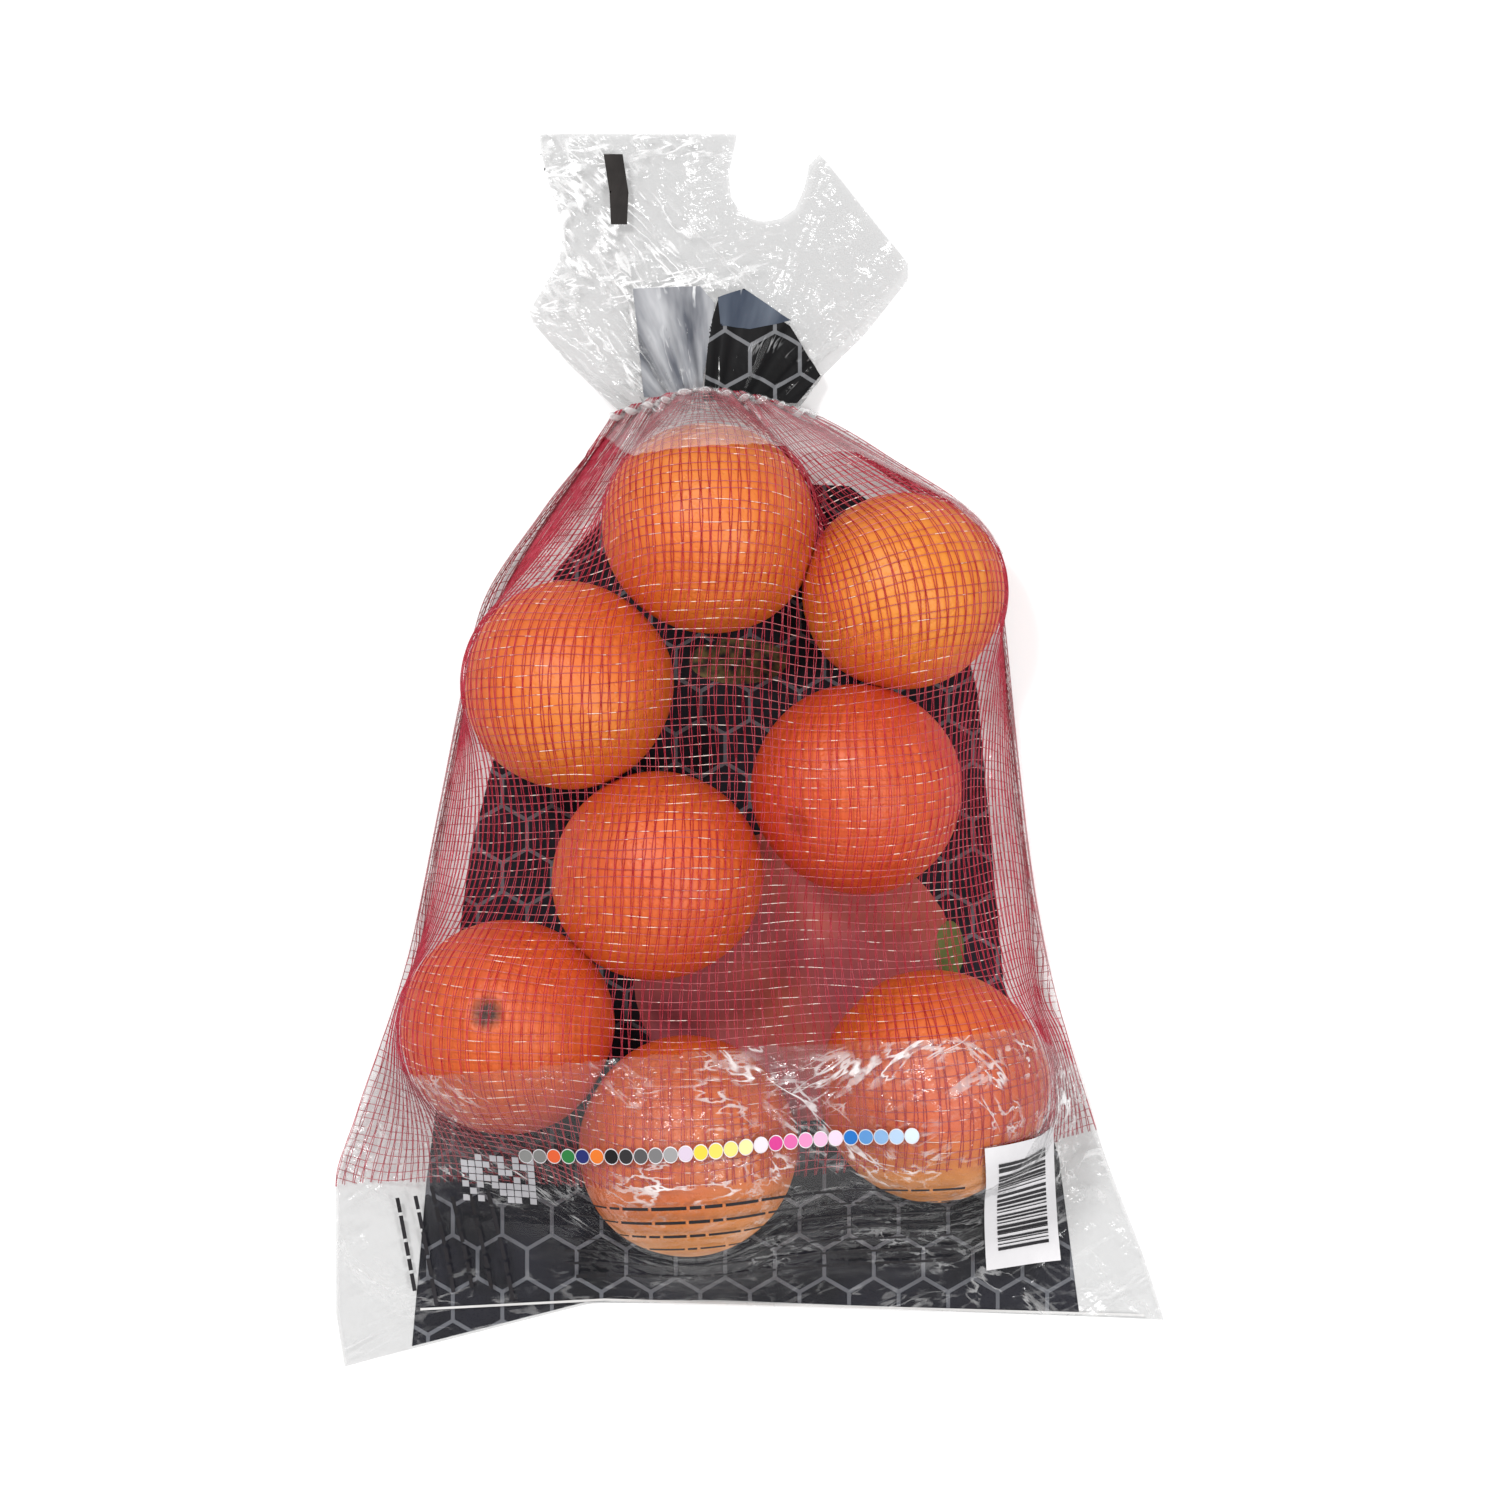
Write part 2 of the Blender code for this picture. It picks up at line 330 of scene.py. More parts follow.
class Nodes:
    """Short words for building one material's node tree."""

    def __init__(self, name):
        self.material = bpy.data.materials.new(name)
        self.material.use_nodes = True
        self.tree = self.material.node_tree
        self.tree.nodes.clear()

    def add(self, kind, links=None, **settings):
        node = self.tree.nodes.new(kind)
        for key, value in settings.items():
            setattr(node, key, value)
        for key, value in (links or {}).items():
            socket = node.inputs[key]
            if isinstance(value, bpy.types.NodeSocket):
                self.tree.links.new(value, socket)
            else:
                socket.default_value = value
        return node

    def place(self):
        return self.add("ShaderNodeTexCoord").outputs["Object"]

    def noise(self, scale, detail=3.0, where=None, distortion=0.0):
        links = {"Vector": where or self.place(), "Scale": scale, "Detail": detail,
                 "Distortion": distortion}
        return self.add("ShaderNodeTexNoise", links).outputs["Fac"]

    def ramp(self, fac, *stops):
        node = self.add("ShaderNodeValToRGB", {"Fac": fac})
        elements = node.color_ramp.elements
        while len(elements) < len(stops):
            elements.new(0.5)
        for element, (position, colour) in zip(elements, stops):
            element.position = position
            element.color = (*colour, 1)
        return node.outputs["Color"]

    def math(self, operation, first, second=0.0):
        node = self.add("ShaderNodeMath", operation=operation)
        for socket, value in zip(node.inputs, (first, second)):
            if isinstance(value, bpy.types.NodeSocket):
                self.tree.links.new(value, socket)
            else:
                socket.default_value = value
        return node.outputs[0]

    def mix(self, fac, first, second):
        node = self.add("ShaderNodeMix", {0: fac}, data_type="RGBA")
        for index, value in ((6, first), (7, second)):
            if isinstance(value, bpy.types.NodeSocket):
                self.tree.links.new(value, node.inputs[index])
            else:
                node.inputs[index].default_value = (*value, 1)
        return node.outputs[2]

    def stretched(self, turn, stretch):
        """Coordinates that make a noise long in one direction, turn degrees from +X."""
        turned = self.add("ShaderNodeVectorRotate",
                          {"Vector": self.place(), "Angle": math.radians(-turn)}, rotation_type="Z_AXIS")
        return self.add("ShaderNodeVectorMath", {0: turned.outputs[0], 1: (1 / stretch, 1, 1)},
                        operation="MULTIPLY").outputs[0]

    def rays(self):
        """Coordinates that make a noise run in rays out of the neck."""
        off = self.add("ShaderNodeVectorMath", {0: self.place(), 1: RAY_CENTRE},
                       operation="SUBTRACT").outputs[0]
        xyz = self.add("ShaderNodeSeparateXYZ", {0: off})
        angle = self.math("ARCTAN2", xyz.outputs["X"], xyz.outputs["Y"])
        away = self.add("ShaderNodeVectorMath", {0: off}, operation="LENGTH").outputs["Value"]
        both = self.add("ShaderNodeCombineXYZ", {"X": self.math("MULTIPLY", angle, 0.05),
                                                 "Y": self.math("MULTIPLY", away, 0.2)})
        return both.outputs[0]

    def creases(self, where, size, thin):
        """Soft folds, and a mask of the thin lines along them, where highlights are painted."""
        folds = self.noise(size, 3, where)
        off = self.math("ABSOLUTE", self.math("SUBTRACT", folds, 0.5))
        return folds, self.ramp(off, (thin * 0.4, WHITE), (thin, BLACK))

    def with_painted_glints(self, colour, amount):
        """A printed colour with white glints painted over it along the film's pleats, as painted
        highlights.
        """
        line = self.creases(self.rays(), 190, 0.022)[1]
        patch = self.ramp(self.noise(60, 3), (0.50, BLACK), (0.64, WHITE))
        fac = self.math("MULTIPLY", self.math("MULTIPLY", line, patch), amount)
        return self.mix(fac, colour, linear(226, 227, 228))

    def bump(self, height, distance, strength=1.0):
        links = {"Height": height, "Distance": distance, "Strength": strength}
        return self.add("ShaderNodeBump", links).outputs["Normal"]

    def shader(self, **links):
        named = {key.replace("_", " "): value for key, value in links.items()}
        return self.add("ShaderNodeBsdfPrincipled", named).outputs["BSDF"]

    def see_through(self, surface, share, colour):
        clear = self.add("ShaderNodeBsdfTransparent", {"Color": (*colour, 1)}).outputs["BSDF"]
        both = self.add("ShaderNodeMixShader", {"Fac": share})
        self.tree.links.new(clear, both.inputs[1])
        self.tree.links.new(surface, both.inputs[2])
        return self.finish(both.outputs[0])

    def finish(self, surface):
        out = self.add("ShaderNodeOutputMaterial")
        self.tree.links.new(surface, out.inputs["Surface"])
        return self.material


def peel(name, redness, end, radius, centre, scar, gold):
    """Waxed orange peel with fine pores, patchy colour and a brown scar at one end."""
    nodes = Nodes(name)
    yellow = linear(216, 130, 44)
    middle = linear(217, 112, 40)
    red = linear(203, 74, 34)
    warm = tuple(np.array(middle) * (1 - redness) + np.array(red) * redness)
    reddish = (np.array(middle) + np.array(red)) / 2
    light = tuple(np.array(yellow) * (1 - redness) + reddish * redness)
    colour = nodes.ramp(nodes.noise(16, 3), (0.38, warm), (0.66, light))
    if gold:
        way, strength = gold
        off = nodes.add("ShaderNodeVectorMath", {0: nodes.place(), 1: centre * MM}, operation="SUBTRACT")
        toward = nodes.add("ShaderNodeVectorMath",
                           {0: off.outputs[0], 1: Vector(way).normalized() / (radius * MM)},
                           operation="DOT_PRODUCT").outputs["Value"]
        uneven = nodes.math("ADD", toward, nodes.math("MULTIPLY", nodes.noise(40, 3), 0.3))
        fac = nodes.math("MULTIPLY", nodes.ramp(uneven, (0.55, BLACK), (0.95, WHITE)), strength)
        colour = nodes.mix(fac, colour, linear(220, 138, 42))
    fine = nodes.noise(420, 2)
    colour = nodes.mix(nodes.math("MULTIPLY", fine, 0.16), colour, linear(190, 70, 20))
    if scar:
        tip = centre + Vector(end).normalized() * radius * 0.985
        away = nodes.add("ShaderNodeVectorMath", {0: nodes.place(), 1: tip * MM}, operation="DISTANCE")
        edge = nodes.math("ADD", away.outputs["Value"],
                          nodes.math("MULTIPLY", nodes.noise(500, 2), 0.0025))
        spot = nodes.ramp(edge, (0.0046, (scar,) * 3), (0.0056, BLACK))
        colour = nodes.mix(spot, colour, linear(58, 34, 22))
    pores = nodes.add("ShaderNodeTexVoronoi", {"Vector": nodes.place(), "Scale": 620.0})
    pits = nodes.math("MINIMUM", pores.outputs["Distance"], 0.42)
    uneven_skin = nodes.math("MULTIPLY", nodes.noise(150, 2), 1.6)
    normal = nodes.bump(nodes.math("ADD", pits, uneven_skin), 0.0005, 0.8)
    return nodes.finish(nodes.shader(Base_Color=colour, Roughness=0.5, Normal=normal))


def upright_look():
    nodes = Nodes("red_mesh")
    colour = nodes.ramp(nodes.noise(260, 2), (0.35, linear(184, 40, 66)), (0.7, linear(216, 84, 108)))
    return nodes.see_through(nodes.shader(Base_Color=colour, Roughness=0.25), 0.50, (0.96, 0.36, 0.44))


def cross_look():
    """The paler cross threads, with short white glints painted on as highlights."""
    nodes = Nodes("pale_mesh")
    fine = nodes.noise(420, 2, nodes.stretched(0, 2.5))
    clustered = nodes.math("ADD", fine, nodes.math("MULTIPLY", nodes.noise(30, 2), 0.5))
    # Painted highlights: the colour turns near white at short dashes, and the thread grows opaque there.
    glints = nodes.ramp(clustered, (0.83, BLACK), (0.87, WHITE))
    colour = nodes.ramp(nodes.noise(260, 2), (0.35, linear(200, 98, 112)), (0.7, linear(226, 150, 158)))
    colour = nodes.mix(glints, colour, linear(252, 238, 230))
    share = nodes.math("MAXIMUM", nodes.math("MULTIPLY", glints, 0.95), 0.56)
    return nodes.see_through(nodes.shader(Base_Color=colour, Roughness=0.2), share, (0.94, 0.55, 0.52))


def film_look(name, haze, crease, clear, painted_highlight_strength, ways=((28, 5), (-34, 4)), fanned=False,
              taut_below=None):
    """Clear crumpled film. haze is its whitish veil, clear how much light one layer lets
    through, crease the depth of its folds and painted_highlight_strength how strong its painted
    highlights are: white painted along its sharp creases and in blotches of glare. The creases run along
    ways, as (degrees from +X, stretch), and out of the neck where the film is fanned. Below the y of
    taut_below the film is stretched, so its haze, creases and painted highlights fade."""
    nodes = Nodes(name)
    fields = [nodes.stretched(turn, stretch) for turn, stretch in ways]
    if fanned:
        fields.append(nodes.rays())
    height, line = 0.0, 0.0
    for where in fields:
        broad, broad_line = nodes.creases(where, 52, 0.010)
        fine, fine_line = nodes.creases(where, 170, 0.030)
        patch = nodes.ramp(nodes.noise(30, 3, where), (0.53, BLACK), (0.66, WHITE))
        both = nodes.math("MULTIPLY", nodes.math("MAXIMUM", broad_line, fine_line), patch)
        line = nodes.math("MAXIMUM", both, line)
        height = nodes.math("ADD", nodes.math("ADD", broad, nodes.math("MULTIPLY", fine, 0.35)), height)
    # Painted highlights: white painted along the sharp crease lines and in blotches of glare, which no lamp
    # reflects.
    speckle = nodes.ramp(nodes.noise(260, 2, fields[0]), (0.56, BLACK), (0.60, WHITE))
    bright = nodes.ramp(nodes.noise(22, 2, fields[-1]), (0.63, BLACK), (0.70, WHITE))
    glare = nodes.math("MULTIPLY", speckle, bright)
    broken = nodes.ramp(nodes.noise(120, 3), (0.42, BLACK), (0.56, WHITE))
    painted_crease_highlights = nodes.math("MULTIPLY", line, broken)
    white = nodes.math("MULTIPLY", nodes.math("MAXIMUM", painted_crease_highlights, glare), painted_highlight_strength)
    veil = nodes.math("MULTIPLY", nodes.noise(24, 4), haze)
    if taut_below is not None:
        up = nodes.add("ShaderNodeSeparateXYZ", {0: nodes.place()}).outputs["Y"]
        slack = nodes.add("ShaderNodeMapRange", {"Value": up, "From Min": (taut_below - 10) * MM,
                                                 "From Max": (taut_below + 16) * MM}).outputs[0]
        partly = nodes.math("MAXIMUM", slack, 0.35)
        white = nodes.math("MULTIPLY", white, partly)
        height = nodes.math("MULTIPLY", height, partly)
        veil = nodes.math("MULTIPLY", veil, slack)
    normal = nodes.bump(height, crease)
    facing = nodes.add("ShaderNodeLayerWeight", {"Blend": 0.35, "Normal": normal}).outputs["Fresnel"]
    mirror = nodes.math("MULTIPLY", facing, 0.30)
    share = nodes.math("ADD", mirror, nodes.math("ADD", veil, white))
    shine = nodes.shader(Base_Color=(0.93, 0.93, 0.93, 1), Roughness=0.11, Normal=normal,
                         Metallic=nodes.math("DIVIDE", mirror, share))
    return nodes.see_through(shine, nodes.math("MINIMUM", share, 0.94), (clear, clear, clear))


def inked(nodes, colour):
    """Dull print in a colour, on soft folds."""
    normal = nodes.bump(nodes.noise(55, 4, distortion=1.0), 0.0012, 0.6)
    surface = nodes.shader(Base_Color=colour, Roughness=0.6, Specular_IOR_Level=0.15, Normal=normal)
    return nodes.finish(surface)


def ink_look(name, dark, light, size=60, painted_pleat_light=0.0):
    """Print in one colour, uneven over patches of 1 / size metres. On the fan, where painted_pleat_light is
    set, its unevenness runs in streaks along the pleats as painted light and shade, and it carries painted
    glints of that strength.
    """
    nodes = Nodes(name)
    where = nodes.rays() if painted_pleat_light else nodes.place()
    colour = nodes.ramp(nodes.noise(size, 3, where), (0.35, dark), (0.7, light))
    if painted_pleat_light:
        colour = nodes.with_painted_glints(colour, painted_pleat_light)
    return inked(nodes, colour)


# ---- Pieces ----------------------------------------------------------------------------

def make_orange(name, x, y, radius, redness, tall, rng):
    """One orange: an uneven round fruit with a dimple at its end."""
    end, scar = ENDS[name]
    axis = Vector(end).normalized()
    bm = bmesh.new()
    bmesh.ops.create_icosphere(bm, subdivisions=6, radius=1)
    waves = [(Vector(rng.normal(size=3)), rng.uniform(0, TURN), rng.uniform(0.003, 0.009))
             for _ in range(7)]
    centre = Vector((x, y, radius))
    for vert in bm.verts:
        way = vert.co.normalized()
        along = way.dot(axis)
        size = 1 - (1 - tall) * along**2
        size += sum(a * math.sin(2.4 * way.dot(w) + p) for w, p, a in waves)
        size -= 0.035 * math.exp(-(((1 - along) / 0.012) ** 2))
        vert.co = way * radius * min(size, 1.005)
    low = min(v.co.z for v in bm.verts)
    for vert in bm.verts:
        vert.co = (vert.co + centre) * MM
        vert.co.z += (-low - radius + 0.6) * MM
    mesh = bpy.data.meshes.new(name)
    bm.to_mesh(mesh)
    bm.free()
    mesh.shade_smooth()
    mesh.materials.append(peel(name + "_peel", redness, end, radius, centre, scar, GOLD.get(name)))
    fruit = bpy.data.objects.new(name, mesh)
    bpy.context.scene.collection.objects.link(fruit)
    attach(fruit, "root")
    return fruit


def tube(path, out, radius):
    """A three-sided thread along path, standing off the surface along out."""
    along = np.gradient(path, axis=0)
    along /= np.linalg.norm(along, axis=1, keepdims=True) + 1e-9
    side = np.cross(along, out)
    side /= np.linalg.norm(side, axis=1, keepdims=True) + 1e-9
    up = np.cross(side, along)
    rings = [path + radius * (math.cos(a) * side + math.sin(a) * up) for a in
             (math.pi / 2, math.pi * 7 / 6, math.pi * 11 / 6)]
    return np.stack(rings, 1)


def threads(name, paths, radius, look):
    """Many threads as one piece. paths holds (points, outward directions)."""
    verts, faces, base = [], [], 0
    for path, out in paths:
        rings = tube(path, out, radius)
        n = len(rings)
        verts.append(rings.reshape(-1, 3))
        for k in range(3):
            j = np.arange(n - 1) * 3 + base
            faces += np.stack([j + k, j + (k + 1) % 3, j + 3 + (k + 1) % 3, j + 3 + k], 1).tolist()
        faces += [[base + 2, base + 1, base], [base + 3 * n - 3, base + 3 * n - 2, base + 3 * n - 1]]
        base += 3 * n
    return add_piece(name, np.concatenate(verts), faces, look)


def with_normals(front, u, v, lift):
    path = front.lifted(u, v, np.full(u.shape, float(lift)))
    return path, front.lifted(u, v, np.full(u.shape, lift + 1.0)) - path


def crowding(front, u0, v):
    """How many times closer than in a flat net the upright threads lie, up to 4."""
    step = 0.5 / COLUMNS
    low, high = np.full(v.shape, max(u0 - step, 0)), np.full(v.shape, min(u0 + step, 1))
    gap = np.linalg.norm(front.at(high, v) - front.at(low, v), axis=-1) / (high - low) / COLUMNS
    return np.clip(THREAD_GAP / (gap + 1e-6), 1, 4)


def make_net(front, rng):
    """The red mesh: pairs of upright threads that part and rejoin, and single cross threads."""
    look = upright_look()
    u_end, v_end = rows_at_height(front, NET_END_Y)
    upright = ([], [])
    for column in range(COLUMNS + 1):
        u0 = column / COLUMNS
        start = np.interp(u0, u_end, v_end)
        count = int((1 - start) * ROWS * 1.6)
        v = np.linspace(start, 1, count)
        phase = rng.uniform(0, 2)
        row = v * ROWS
        vee = np.abs(((row / 2.3 + phase) % 2) - 1)
        wander = 0.10 * np.sin(row / 7 + rng.uniform(0, TURN))
        sway = crowding(front, u0, v)
        for sign, group in zip((-1, 1), upright):
            shift = sway * (sign * (0.04 + 0.13 * vee) + wander)
            group.append(with_normals(front, u0 + shift / COLUMNS, v, 0.25))
    threads("net_upright_left", upright[0], 0.17, look)
    threads("net_upright_right", upright[1], 0.17, look)
    cross = []
    for row in range(ROWS):
        v0 = row / ROWS
        u = np.linspace(0, 1, COLUMNS * 2 + 1)
        v = v0 + 0.12 / ROWS * np.sin(u * 40 + rng.uniform(0, TURN))
        inside = v > np.interp(u, u_end, v_end)
        if inside.sum() < 8:
            continue
        edges = np.flatnonzero(np.diff(np.concatenate([[0], inside.astype(int), [0]])))
        for first, last in zip(edges[::2], edges[1::2]):
            if last - first > 3:
                cross.append(with_normals(front, u[first:last], v[first:last], 0.15))
    threads("net_across", cross, 0.17, cross_look())


def crumple(rng, count, scale):
    """Random soft ridges as a function of flat (x, y), about -1 to 1."""
    folds = [(rng.uniform(0, math.pi), rng.uniform(0.6, 1.6) / scale, rng.uniform(0, TURN))
             for _ in range(count)]

    def height(x, y):
        total = 0
        for turn, rate, phase in folds:
            total = total + 1 - 2 * np.abs(np.sin((x * math.cos(turn) + y * math.sin(turn)) * rate + phase))
        return total / count
    return height


def make_front_film(front, rng):
    """The clear band over the bottom of the front, and the header over the shoulders."""
    bumps = crumple(rng, 7, 9)
    u_end, v_end = rows_at_height(front, BAND_TOP_Y)
    u, share = np.meshgrid(np.linspace(0, 1, 241), np.linspace(0, 1, 121))
    v = share * np.interp(u, u_end, v_end)
    lift = 0.8 + 0.3 * (1 + bumps(u * FLAT_WIDTH, v * ROWS * THREAD_GAP))
    # Each film look's fourth number is how strong its painted highlights are.
    look = film_look("band_film", 0.07, 0.005, 0.96, 0.8, ((30, 6), (-40, 5), (4, 4)),
                     taut_below=BAND_TAUT_BELOW)
    add_grid("film_band", front.lifted(u, v, lift), look)

    u_end, v_end = rows_at_height(front, HEADER_EDGE_Y)
    u, share = np.meshgrid(np.linspace(0.0, 1, 181), np.linspace(0, 1, 31))
    low = np.interp(u, u_end, v_end)
    v = low + (0.998 - low) * share
    lift = 0.8 + 0.25 * (1 + bumps(u * FLAT_WIDTH, v * ROWS * THREAD_GAP))
    look = film_look("header_film", 0.24, 0.0012, 1.0, 0.12)
    add_grid("film_header", front.lifted(u, v, lift), look)


def make_lip(front):
    """The rolled edge of the header film round the neck."""
    u = np.linspace(0, 1, 181)
    path = front.lifted(u, np.full(u.shape, 0.992), 1.0 + 0.4 * np.sin(u * 21))
    along = np.gradient(path, axis=0)
    along /= np.linalg.norm(along, axis=1, keepdims=True)
    across = np.cross(along, (0, 0, 1))
    up = np.cross(across, along)
    turn = np.linspace(0, 2 * math.pi, 11)[None, :, None]
    rings = path[:, None] + LIP_RADIUS * (np.cos(turn) * across[:, None] + np.sin(turn) * up[:, None])
    add_grid("neck_lip", rings, film_look("lip_film", 0.45, 0.001, 0.90, 0.3))


def make_back():
    """The clear film back with its printed field, turned up at its side seams."""
    left, right, bottom, top = front_pins()
    u = np.linspace(0, 1, 97)[None, :, None]
    sheet = left[:, None] * (1 - u) + right[:, None] * u
    share = u[0, :, 0]
    hem = hem_y(share)
    v = np.linspace(0, 1, ROWS + 1)[:, None]
    sheet[:, :, 1] += (hem - sheet[0, :, 1])[None, :] * (1 - smooth_step(v / 0.25))
    edge = np.minimum(share, 1 - share)
    rise = (1 - smooth_step(edge / 0.05))[None, :]
    neck = smooth_step((v - 0.88) / 0.12)
    sheet[:, :, 2] = TABLE_FILM_Z + (sheet[:, :, 2] - TABLE_FILM_Z) * np.maximum(rise, neck)
    add_grid("back_film", sheet, film_look("back_film", 0.08, 0.003, 0.75, 0.3))
    return sheet


def make_seams():
    """The welded seams that join the mesh to the film back, one down each side."""
    weld = film_look("seam_film", 0.3, 0.0008, 1.0, 0.2)
    left, right, _, _ = front_pins()
    for name, side, inward in (("seam_left", left, 1), ("seam_right", right, -1)):
        across = np.linspace(0, SEAM_WIDTH, 4)[None, :, None]
        ribbon = side[:-8, None] + across * np.array([inward, 0, 0])
        ribbon[:, :, 2] += 0.5
        add_grid(name, ribbon, weld)


def sheet_tree(sheet):
    rows, columns = sheet.shape[:2]
    points = [Vector(p) for p in sheet.reshape(-1, 3).tolist()]
    return BVHTree.FromPolygons(points, grid_faces(rows, columns))


def cut_flat(outlines, step):
    """Flat shapes as a bmesh, cut into faces about step wide."""
    bm = bmesh.new()
    for outline in outlines:
        bm.faces.new([bm.verts.new((x, y, 0)) for x, y in outline])
    corners = np.array([v.co[:2] for v in bm.verts])
    low, high = corners.min(0), corners.max(0)
    for axis in (0, 1):
        for cut in np.arange(low[axis] + step, high[axis], step):
            plane, normal = [0, 0, 0], [0, 0, 0]
            plane[axis], normal[axis] = cut, 1
            bmesh.ops.bisect_plane(bm, geom=bm.verts[:] + bm.edges[:] + bm.faces[:],
                                   plane_co=plane, plane_no=normal)
    return bm


def bmesh_parts(bm):
    bmesh.ops.triangulate(bm, faces=bm.faces[:])
    bm.verts.index_update()
    verts = [v.co[:] for v in bm.verts]
    faces = [[v.index for v in f.verts] for f in bm.faces]
    bm.free()
    return verts, faces


def lay_print(name, tree, outlines, lift, look, step=2.0):
    """Flat printed shapes, cut into small faces and laid on a sheet from above."""
    bm = cut_flat(outlines, step)
    for vert in bm.verts:
        hit = tree.ray_cast(Vector((vert.co.x, vert.co.y, 300)), Vector((0, 0, -1)))[0]
        vert.co.z = (hit.z if hit else TABLE_FILM_Z) + lift
    verts, faces = bmesh_parts(bm)
    return add_piece(name, verts, faces, look)


def hexagon_ink(name, deep, pale, line_colour, painted_pleat_light=0.0):
    """Dark ink with pale lines round pointed-up hexagons, 17 mm across their flats."""
    nodes = Nodes(name)
    size = 0.017
    grid = (1.0, math.sqrt(3), 1.0)
    half = (0.5, math.sqrt(3) / 2, 0.5)
    place = nodes.add("ShaderNodeVectorMath", {0: nodes.place(), "Scale": 1 / size},
                      operation="SCALE").outputs[0]
    place = nodes.add("ShaderNodeVectorMath", {0: place, 1: (100, 100 * grid[1], 100)},
                      operation="ADD").outputs[0]

    def cell(where):
        turned = nodes.add("ShaderNodeVectorMath", {0: where, 1: grid}, operation="MODULO").outputs[0]
        centred = nodes.add("ShaderNodeVectorMath", {0: turned, 1: half}, operation="SUBTRACT").outputs[0]
        xyz = nodes.add("ShaderNodeSeparateXYZ", {0: centred})
        x, y = nodes.math("ABSOLUTE", xyz.outputs[0]), nodes.math("ABSOLUTE", xyz.outputs[1])
        lean = nodes.math("ADD", nodes.math("MULTIPLY", x, 0.5), nodes.math("MULTIPLY", y, half[1]))
        return nodes.math("MAXIMUM", x, lean)

    shifted = nodes.add("ShaderNodeVectorMath", {0: place, 1: half}, operation="ADD").outputs[0]
    reach = nodes.math("MINIMUM", cell(place), cell(shifted))
    line = nodes.math("GREATER_THAN", reach, 0.462)
    dark = nodes.ramp(nodes.noise(45, 3), (0.35, deep), (0.7, pale))
    colour = nodes.mix(line, dark, line_colour)
    # On the fan, painted glints: white highlights painted along the pleats.
    if painted_pleat_light:
        colour = nodes.with_painted_glints(colour, painted_pleat_light)
    return inked(nodes, colour)


def round_outline(x, y, across, along, count=40):
    turns = np.linspace(0, 2 * math.pi, count, endpoint=False)
    return [(x + across * math.cos(a), y + along * math.sin(a)) for a in turns]


def make_print(sheet):
    """The back's print: the dark field, a plain round field, small colour fields and the hem's weld."""
    tree = sheet_tree(sheet)
    along_hem = [(x, hem_y((x + 140) / 282) + 0.8) for x in np.linspace(-116, 113, 24)]
    field = [*along_hem, (106, -140), (87, -80), (83, -35), (78, 20), (68, 58), (50, 78), (34, 90),
             (-14, 92), (-46, 84), (-66, 62), (-82, 20), (-96, -35), (-111, -148)]
    ink = hexagon_ink("hexagon_ink", linear(17, 17, 23), linear(32, 32, 42), linear(104, 106, 112))
    lay_print("print_dark_field", tree, [field], 0.12, ink, 4)
    warm = ink_look("print_warm_ink", linear(160, 84, 92), linear(196, 108, 86), 22)
    lay_print("print_round_field", tree, [round_outline(16, -78, 56, 50)], 0.24, warm, 4)
    leaf = ink_look("print_leaf_ink", linear(88, 104, 56), linear(118, 130, 76))
    lay_print("print_leaf", tree, [round_outline(68.5, -69, 5, 10, 24)], 0.36, leaf)
    gold = ink_look("print_gold_ink", linear(34, 33, 38), linear(126, 114, 70), 260)
    lay_print("print_band", tree, [round_outline(-4, 30, 17, 8, 24)], 0.24, gold)
    weld = ink_look("weld_film", linear(214, 213, 212), linear(232, 231, 230))
    line = [(-113, -192.6), (-50, -189.3), (135, -194.6), (135, -193.8), (-50, -188.5), (-113, -191.8)]
    lay_print("hem_weld", tree, [line], 1.6, weld)


# The row of print check dots: an ink, and the share of white in each of its dots.
DOT_INKS = (
    ((128, 128, 126), (0.1, 0.0)),
    ((226, 96, 50), (0.0,)),
    ((44, 122, 62), (0.0,)),
    ((36, 44, 106), (0.0,)),
    ((228, 120, 44), (0.0,)),
    ((24, 22, 24), (0.0, 0.1, 0.25, 0.4, 0.55)),
    ((206, 190, 208), (0.0,)),
    ((232, 200, 66), (0.0, 0.15, 0.3, 0.5)),
    ((232, 218, 226), (0.0,)),
    ((206, 62, 140), (0.0, 0.2, 0.4, 0.6, 0.75)),
    ((40, 112, 190), (0.0, 0.25, 0.45, 0.65, 0.8)),
)


def dot_colours():
    return [np.array(ink) * (1 - white) + 255 * white for ink, tints in DOT_INKS for white in tints]


def bar(x, y, width, height, turn=0.0):
    corners = ((-1, -1), (1, -1), (1, 1), (-1, 1))
    c, s = math.cos(turn), math.sin(turn)
    return [(x + c * a * width / 2 - s * b * height / 2, y + s * a * width / 2 + c * b * height / 2)
            for a, b in corners]


def flatness(tree, x, y):
    """How level the sheet lies at (x, y): 1 where it is flat, down to 0.35 where it is steep."""
    normal = tree.ray_cast(Vector((x, y, 300)), Vector((0, 0, -1)))[1]
    return max(abs(normal.z), 0.35) if normal else 1.0


def text_lines(rng, count, first, spacing, start, end, longest, size, lean, tree=None):
    """Plain bars in place of lines of words, thinner in plan where tree's sheet is steep."""
    words = []
    for line in range(count):
        at = start + rng.uniform(-3, 3)
        while at < end:
            width = rng.uniform(3, longest)
            x = at + width / 2
            y = first - spacing * line + math.tan(lean) * x
            height = size * flatness(tree, x, y) if tree else size
            words.append(bar(x, y, width, height, lean))
            at += width + 1.0
    return words


